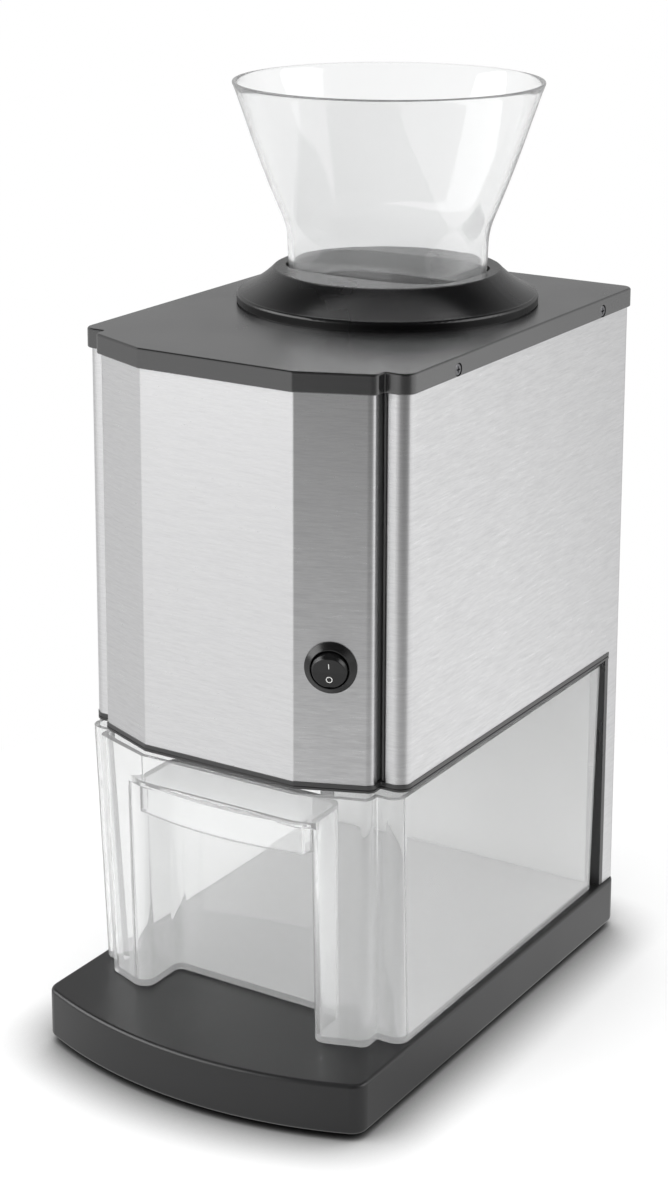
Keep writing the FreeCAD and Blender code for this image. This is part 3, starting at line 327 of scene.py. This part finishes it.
def grainGroup(form):
    # brushed or ground lines, long in the plane of the floor and fine upwards
    kinds = {"Height": "NodeSocketFloat", "Tone": "NodeSocketFloat"}
    tree, start, end = newGroup("brushedGrain", {"Along": 30.0, "Across": 900.0}, kinds)
    along = start.outputs["Along"]
    where = put(tree, "TexCoord").outputs["Object"]
    stretch = put(tree, "CombineXYZ", {0: along, 1: along, 2: start.outputs["Across"]}).outputs[0]
    fine = put(tree, "VectorMath", {0: where, 1: stretch}, operation="MULTIPLY").outputs[0]
    broad = put(tree, "VectorMath", {0: fine, 1: form["bandScale"]}, operation="MULTIPLY").outputs[0]
    lines = noise(tree, fine, 1.0, form["lineDetail"], form["lineRoughness"])
    bands = noise(tree, broad, 1.0, form["bandDetail"], form["bandRoughness"])
    lineTone = calc(tree, "MULTIPLY", lines, form["lineShare"])
    bandTone = calc(tree, "MULTIPLY", bands, form["bandShare"])
    tone = calc(tree, "ADD", lineTone, bandTone)
    feed(tree, end.inputs["Height"], lines)
    feed(tree, end.inputs["Tone"], remap(tree, tone, form["toneFrom"], form["toneTo"], 0.0, 1.0))
    return tree


skinForm = {
    "pitDetail": 2.0,
    "patchScale": 14.0,         # patches per metre
    "patchDetail": 3.0,
    "patchFrom": 0.3,
    "patchTo": 0.7,
    "edgeReach": 0.0008,        # metres from a sharp edge
    "edgeSamples": 4,
    "edgeFrom": 0.99,           # agreement of the softened normal where an edge starts and where it is full
    "edgeTo": 0.8,
}


def skinGroup(form):
    # spark-eroded skin of a moulding: fine pits, slow patches and a mask of its edges
    kinds = {"Height": "NodeSocketFloat", "Patch": "NodeSocketFloat", "Edges": "NodeSocketFloat"}
    tree, start, end = newGroup("mouldSkin", {"Scale": 1500.0}, kinds)
    where = put(tree, "TexCoord").outputs["Object"]
    pits = noise(tree, where, start.outputs["Scale"], form["pitDetail"])
    patch = noise(tree, where, form["patchScale"], form["patchDetail"])
    soft = put(tree, "Bevel", {"Radius": form["edgeReach"]}, samples=form["edgeSamples"]).outputs[0]
    flat = put(tree, "NewGeometry").outputs["Normal"]
    agree = put(tree, "VectorMath", {0: soft, 1: flat}, operation="DOT_PRODUCT").outputs["Value"]
    feed(tree, end.inputs["Height"], pits)
    feed(tree, end.inputs["Patch"], remap(tree, patch, form["patchFrom"], form["patchTo"], 0.0, 1.0))
    feed(tree, end.inputs["Edges"], remap(tree, agree, form["edgeFrom"], form["edgeTo"], 0.0, 1.0))
    return tree


grain = grainGroup(grainForm)
skin = skinGroup(skinForm)
print("surface effects made")


def dimmed(colour, share):
    return tuple(share * part for part in colour)


brushedSteel = {
    "light": (0.765, 0.765, 0.77),
    "dark": (0.61, 0.61, 0.615),
    "roughness": (0.26, 0.36),
    "anisotropy": 0.72,
    "layTurn": 0.25,            # quarter turn, so that highlights spread across the lines
    "along": 210.0,             # grains per metre along the brushing and across it
    "across": 3400.0,
    "lineDepth": 0.00002,
    "lineStrength": 0.35,
}


def steelFinish(name, values):
    material, tree = newMaterial(name)
    lines = put(tree, "Group", {"Along": values["along"], "Across": values["across"]}, node_tree=grain)
    tone = lines.outputs["Tone"]
    low, high = values["roughness"]
    lay = put(tree, "Tangent", direction_type="RADIAL", axis="Z")
    shader = put(tree, "BsdfPrincipled", {
        "Base Color": mixColours(tree, tone, values["dark"], values["light"]),
        "Metallic": 1.0,
        "Roughness": remap(tree, tone, 0.0, 1.0, high, low),
        "Normal": bumped(tree, lines.outputs["Height"], values["lineStrength"], values["lineDepth"]),
        "Anisotropic": values["anisotropy"],
        "Anisotropic Rotation": values["layTurn"],
        "Tangent": lay.outputs[0],
    })
    put(tree, "OutputMaterial", {"Surface": shader.outputs[0]})
    return material


# index is the surface's, scale the pits per metre, pits their depth in metres, edge how much paler edges are,
# partly as wear and partly as a painted highlight
mouldings = {
    "coverPaint": {"colour": (0.012, 0.012, 0.0125), "roughness": 0.24, "index": 2.2, "scale": 2600,
                   "pits": 0.00001, "edge": 0.1},
    "trimPlastic": {"colour": (0.02, 0.02, 0.0205), "roughness": 0.3, "index": 1.7, "scale": 2600,
                    "pits": 0.00001, "edge": 0.1},
    "stripPlastic": {"colour": (0.10, 0.10, 0.101), "roughness": 0.34, "index": 1.6, "scale": 2600,
                     "pits": 0.00001, "edge": 0.1},
    "collarPlastic": {"colour": (0.0025, 0.0025, 0.0027), "roughness": 0.26, "index": 1.5, "scale": 2600,
                      "pits": 0.00001, "edge": 0.1},
    "basePlastic": {"colour": (0.012, 0.012, 0.0125), "roughness": 0.33, "index": 1.52, "scale": 1900,
                    "pits": 0.00003, "edge": 0.3},
    "switchPlastic": {"colour": (0.006, 0.006, 0.0062), "roughness": 0.26, "index": 1.5, "scale": 3000,
                      "pits": 0.00001, "edge": 0.1},
    "footRubber": {"colour": (0.02, 0.02, 0.02), "roughness": 0.78, "index": 1.5, "scale": 1200,
                   "pits": 0.00008, "edge": 0.1},
    "bayPlastic": {"colour": (0.90, 0.90, 0.90), "roughness": 0.4, "index": 1.5, "scale": 1800,
                   "pits": 0.00003, "edge": 0.0},
    "housingPlastic": {"colour": (0.50, 0.51, 0.52), "roughness": 0.44, "index": 1.5, "scale": 1800,
                       "pits": 0.00004, "edge": 0.1},
    "gearNylon": {"colour": (0.78, 0.76, 0.68), "roughness": 0.36, "index": 1.53, "scale": 900,
                  "pits": 0.00003, "edge": 0.1},
    "leadCover": {"colour": (0.16, 0.055, 0.03), "roughness": 0.4, "index": 1.5, "scale": 900,
                  "pits": 0.00003, "edge": 0.1},
    "markPaint": {"colour": (0.82, 0.82, 0.80), "roughness": 0.5, "index": 1.5, "scale": 3000,
                  "pits": 0.00001, "edge": 0.0},
}
mouldedLook = {
    "patchShade": 0.86,         # the darker patches against the colour
    "edgeLevel": 0.5,           # grey that edges go towards, as wear and as a painted highlight
    "edgeShare": 0.25,
    "roughnessSwing": 0.04,
    "pitStrength": 0.6,
}


def mouldedFinish(name, values, look):
    material, tree = newMaterial(name)
    surface = put(tree, "Group", {"Scale": values["scale"]}, node_tree=skin)
    deeper = dimmed(values["colour"], look["patchShade"])
    # edges turn paler, partly as wear and partly as a painted highlight along them
    edgeWearAndHighlight = look["edgeShare"] * values["edge"]
    paler = tuple(part + (look["edgeLevel"] - part) * edgeWearAndHighlight for part in values["colour"])
    colour = mixColours(tree, surface.outputs["Patch"], deeper, values["colour"])
    low = values["roughness"] - look["roughnessSwing"]
    high = values["roughness"] + look["roughnessSwing"]
    shader = put(tree, "BsdfPrincipled", {
        "Base Color": mixColours(tree, surface.outputs["Edges"], colour, paler),
        "Roughness": remap(tree, surface.outputs["Patch"], 0.0, 1.0, low, high),
        "IOR": values["index"],
        "Normal": bumped(tree, surface.outputs["Height"], look["pitStrength"], values["pits"]),
    })
    put(tree, "OutputMaterial", {"Surface": shader.outputs[0]})
    return material


metals = {
    "bladeSteel": {"colour": (0.62, 0.62, 0.63), "roughness": 0.26, "along": 60, "across": 1400},
    "zincSteel": {"colour": (0.55, 0.57, 0.58), "roughness": 0.38, "along": 300, "across": 500},
    "bronze": {"colour": (0.62, 0.43, 0.21), "roughness": 0.32, "along": 120, "across": 900},
    "screwSteel": {"colour": (0.20, 0.20, 0.21), "roughness": 0.3, "along": 700, "across": 700},
}
metalLook = {
    "toneShade": 0.8,           # the darker lines against the colour
    "roughnessSwing": 0.06,
    "lineStrength": 0.3,
    "lineDepth": 0.00002,
}


def metalFinish(name, values, look):
    material, tree = newMaterial(name)
    lines = put(tree, "Group", {"Along": values["along"], "Across": values["across"]}, node_tree=grain)
    tone = lines.outputs["Tone"]
    deeper = dimmed(values["colour"], look["toneShade"])
    low = values["roughness"] - look["roughnessSwing"]
    high = values["roughness"] + look["roughnessSwing"]
    shader = put(tree, "BsdfPrincipled", {
        "Base Color": mixColours(tree, tone, deeper, values["colour"]),
        "Metallic": 1.0,
        "Roughness": remap(tree, tone, 0.0, 1.0, high, low),
        "Normal": bumped(tree, lines.outputs["Height"], look["lineStrength"], look["lineDepth"]),
    })
    put(tree, "OutputMaterial", {"Surface": shader.outputs[0]})
    return material


# haze is the share of plain white in the plastic, shade is the light that goes on through it
clearPlastics = {
    "clearHopper": {"colour": (0.92, 0.923, 0.924), "roughness": 0.045, "index": 1.46, "haze": 0.08,
                    "shade": (0.97, 0.972, 0.972)},
    "clearDrawer": {"colour": (0.99, 0.993, 0.993), "roughness": 0.02, "index": 1.46, "haze": 0.16,
                    "shade": (0.995, 0.996, 0.996)},
}
clearLook = {
    "waveScale": 120.0,
    "waveStrength": 0.2,
    "waveDepth": 0.00006,
    "smoothest": 0.6,           # roughness swings between these shares of its value
    "roughest": 1.4,
}


def clearFinish(name, values, look):
    # clear plastic with slow waves from moulding; lamps shine through it
    material, tree = newMaterial(name)
    surface = put(tree, "Group", {"Scale": look["waveScale"]}, node_tree=skin)
    low = values["roughness"] * look["smoothest"]
    high = values["roughness"] * look["roughest"]
    shader = put(tree, "BsdfPrincipled", {
        "Base Color": values["colour"],
        "Roughness": remap(tree, surface.outputs["Patch"], 0.0, 1.0, low, high),
        "IOR": values["index"],
        "Normal": bumped(tree, surface.outputs["Height"], look["waveStrength"], look["waveDepth"]),
        "Transmission Weight": 1.0 - values["haze"],
    })
    shadowRay = put(tree, "LightPath").outputs["Is Shadow Ray"]
    through = put(tree, "BsdfTransparent", {"Color": values["shade"]})
    both = put(tree, "MixShader", {0: shadowRay, 1: shader.outputs[0], 2: through.outputs[0]})
    put(tree, "OutputMaterial", {"Surface": both.outputs[0]})
    return material


finishes = {"brushedSteel": steelFinish("brushedSteel", brushedSteel)}
for name, values in mouldings.items():
    finishes[name] = mouldedFinish(name, values, mouldedLook)
for name, values in metals.items():
    finishes[name] = metalFinish(name, values, metalLook)
for name, values in clearPlastics.items():
    finishes[name] = clearFinish(name, values, clearLook)
print("finishes made,", len(finishes))

# finish of each material slot of the record, and of the nodes that differ from their slot
slotFinish = {
    "brushed_steel": "brushedSteel",
    "cover_plastic": "coverPaint",
    "collar_plastic": "collarPlastic",
    "base_plastic": "basePlastic",
    "clear_plastic": "clearDrawer",
    "rubber": "footRubber",
    "switch_plastic": "switchPlastic",
    "blade_steel": "bladeSteel",
    "housing_plastic": "housingPlastic",
    "gear_nylon": "gearNylon",
    "bronze": "bronze",
    "zinc_steel": "zincSteel",
    "screw_steel": "screwSteel",
    "lead_cover": "leadCover",
}
nodeFinish = {
    "deck_frame": "trimPlastic",
    "front_frame": "stripPlastic",
    "bay_trim": "trimPlastic",
    "bay_back_wall": "bayPlastic",
    "hopper": "clearHopper",
}


def dressNodes():
    for row in frame["record"]["subparts"]:
        name = row["node"]
        finish = nodeFinish.get(name, slotFinish[row["material_slot"]])
        mesh = nodes[name].data
        mesh.materials.clear()
        mesh.materials.append(finishes[finish])


dressNodes()
print("nodes dressed")


def addPiece(name, mesh, finish, body):
    piece = bpy.data.objects.new(name, mesh)
    scene.collection.objects.link(piece)
    mesh.materials.append(finishes[finish])
    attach(piece, body)
    return piece


hopperForm = {
    "spigotX": 0.046,           # half sizes of the oblong spigot
    "spigotY": 0.0327,
    "squareness": 3.4,          # of the spigot, 2 is an ellipse
    "rounding": 1.5,            # how fast the squareness fades towards the rim
    "draft": 0.001,             # the spigot's end is this much narrower on each side
    "shoulder": 0.029,          # height of the shoulder over the spigot's end
    "bend": 0.006,              # half height of the soft bend at the shoulder
    "wall": 0.0022,
    "sides": 144,
    "levels": 40,               # of each wall
    "lipSteps": 8,              # of each half round edge
}


def hopperPlan(height, inset, form, low, high, rimRadius):
    # half width, half depth and squareness at a height
    shoulder = low + form["shoulder"]
    bend = form["bend"]
    over = height - shoulder
    if over > bend:
        climb = over
    elif over > -bend:
        climb = (over + bend) ** 2 / (4 * bend)
    else:
        climb = 0.0
    rise = min(1.0, climb / (high - shoulder))
    draft = form["draft"] * min(1.0, (height - low) / form["shoulder"]) - form["draft"]
    halfX = form["spigotX"] + draft + (rimRadius - form["spigotX"]) * rise - inset
    halfY = form["spigotY"] + draft + (rimRadius - form["spigotY"]) * rise - inset
    power = 2.0 + (form["squareness"] - 2.0) * (1 - rise) ** form["rounding"]
    return halfX, halfY, power


def hopperSection(form, low, high):
    # inset and height up the outside, over the rounded rim, down the inside and round the lower edge
    wall = form["wall"]
    levels = form["levels"]
    steps = form["lipSteps"]
    lip = wall / 2
    heights = [low + lip + (high - low - wall) * i / levels for i in range(levels + 1)]
    outside = [(0.0, z) for z in heights]
    arc = [math.pi * i / steps for i in range(1, steps)]
    rim = [(lip - lip * math.cos(a), high - lip + lip * math.sin(a)) for a in arc]
    inside = [(wall, z) for z in reversed(heights)]
    foot = [(lip + lip * math.cos(a), low + lip - lip * math.sin(a)) for a in arc]
    return outside + rim + inside + foot


def ringFaces(rings, sides):
    # four-sided faces between neighbouring rings of a closed section
    faces = []
    for ring in range(rings):
        here = ring * sides
        after = (ring + 1) % rings * sides
        for side in range(sides):
            beside = (side + 1) % sides
            faces.append((here + side, here + beside, after + beside, after + side))
    return faces


def makeHopper(form):
    lowest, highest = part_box("hopper")
    rimRadius = (highest.x - lowest.x) / 2
    middleY = (highest.y + lowest.y) / 2
    section = hopperSection(form, lowest.z, highest.z)
    sides = form["sides"]
    points = []
    for inset, height in section:
        halfX, halfY, power = hopperPlan(height, inset, form, lowest.z, highest.z, rimRadius)
        for side in range(sides):
            turn = 2 * math.pi * side / sides
            reach = abs(math.cos(turn) / halfX) ** power + abs(math.sin(turn) / halfY) ** power
            reach = reach ** (-1 / power)
            points.append((reach * math.cos(turn), middleY + reach * math.sin(turn), height))
    mesh = bpy.data.meshes.new("hopperShell")
    mesh.from_pydata(points, [], ringFaces(len(section), sides))
    mesh.shade_smooth()
    piece = addPiece("hopperShell", mesh, "clearHopper", "hopper")
    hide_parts("hopper")


makeHopper(hopperForm)
print("hopper made")


switchMarks = {
    "face": 0.0040,             # middle of the rocker's face over its pivot
    "dish": 4.0,                # degrees that each half rises outward
    "pressed": 12.0,            # degrees of tilt at rest, lower half in
    "place": 0.0033,            # marks from the middle of the rocker
    "barLength": 0.0026,
    "lineWidth": 0.00034,
    "ringRadius": 0.00125,
    "proud": 0.00006,           # half thickness of the paint
    "capSteps": 6,
    "ringSteps": 32,
}


def rockerSeat():
    # the rocker's pivot, the way across it to the right and the way it faces
    joint = next(row for row in frame["joints"] if row["name"] == "rocker_tilt")
    along = -Vector(joint["axis"]).normalized()
    return Vector(joint["pos_m"]), along, Vector((along.y, -along.x, 0))


def rockerPoint(across, up, lift, values, seat):
    # a point on the rocker's dished face, tilted as the rocker is at rest
    pivot, along, out = seat
    rise = abs(up) * math.tan(math.radians(values["dish"]))
    depth = values["face"] + rise + lift
    tilt = math.radians(values["pressed"])
    height = up * math.cos(tilt) - depth * math.sin(tilt)
    forward = up * math.sin(tilt) + depth * math.cos(tilt)
    return pivot + along * across + Vector((0, 0, height)) + out * forward


def barLoop(values):
    # outline of the I, with half round ends
    width = values["lineWidth"] / 2
    top = values["place"] + values["barLength"] / 2 - width
    caps = [math.pi * i / values["capSteps"] for i in range(values["capSteps"] + 1)]
    upper = [(width * math.cos(a), top + width * math.sin(a)) for a in caps]
    return upper + [(-x, 2 * values["place"] - y) for x, y in upper]


def ringLoop(values, radius):
    # one of the two circles of the O
    turns = [2 * math.pi * i / values["ringSteps"] for i in range(values["ringSteps"])]
    return [(radius * math.cos(a), -values["place"] + radius * math.sin(a)) for a in turns]


def bridge(paint, first, second):
    # faces between two loops of as many points
    for i in range(len(first)):
        j = (i + 1) % len(first)
        paint.faces.new((first[i], first[j], second[j], second[i]))


def markMesh(name, loops, values, seat):
    # thin paint inside one loop, or between two
    paint = bmesh.new()
    layers = []
    for lift in (values["proud"], -values["proud"]):
        layers.append([[paint.verts.new(rockerPoint(x, y, lift, values, seat)) for x, y in loop]
                       for loop in loops])
    for top, under in zip(*layers):
        bridge(paint, top, under)
    for layer in layers:
        if len(loops) == 1:
            paint.faces.new(layer[0])
        else:
            bridge(paint, *layer)
    bmesh.ops.recalc_face_normals(paint, faces=paint.faces)
    mesh = bpy.data.meshes.new(name)
    paint.to_mesh(mesh)
    paint.free()
    return mesh


def makeSwitchMarks(values):
    seat = rockerSeat()
    width = values["lineWidth"] / 2
    radii = (values["ringRadius"] + width, values["ringRadius"] - width)
    marks = {
        "switchMarkOn": [barLoop(values)],
        "switchMarkOff": [ringLoop(values, radius) for radius in radii],
    }
    for name, loops in marks.items():
        addPiece(name, markMesh(name, loops, values, seat), "markPaint", "rocker")


makeSwitchMarks(switchMarks)
print("switch marks made")
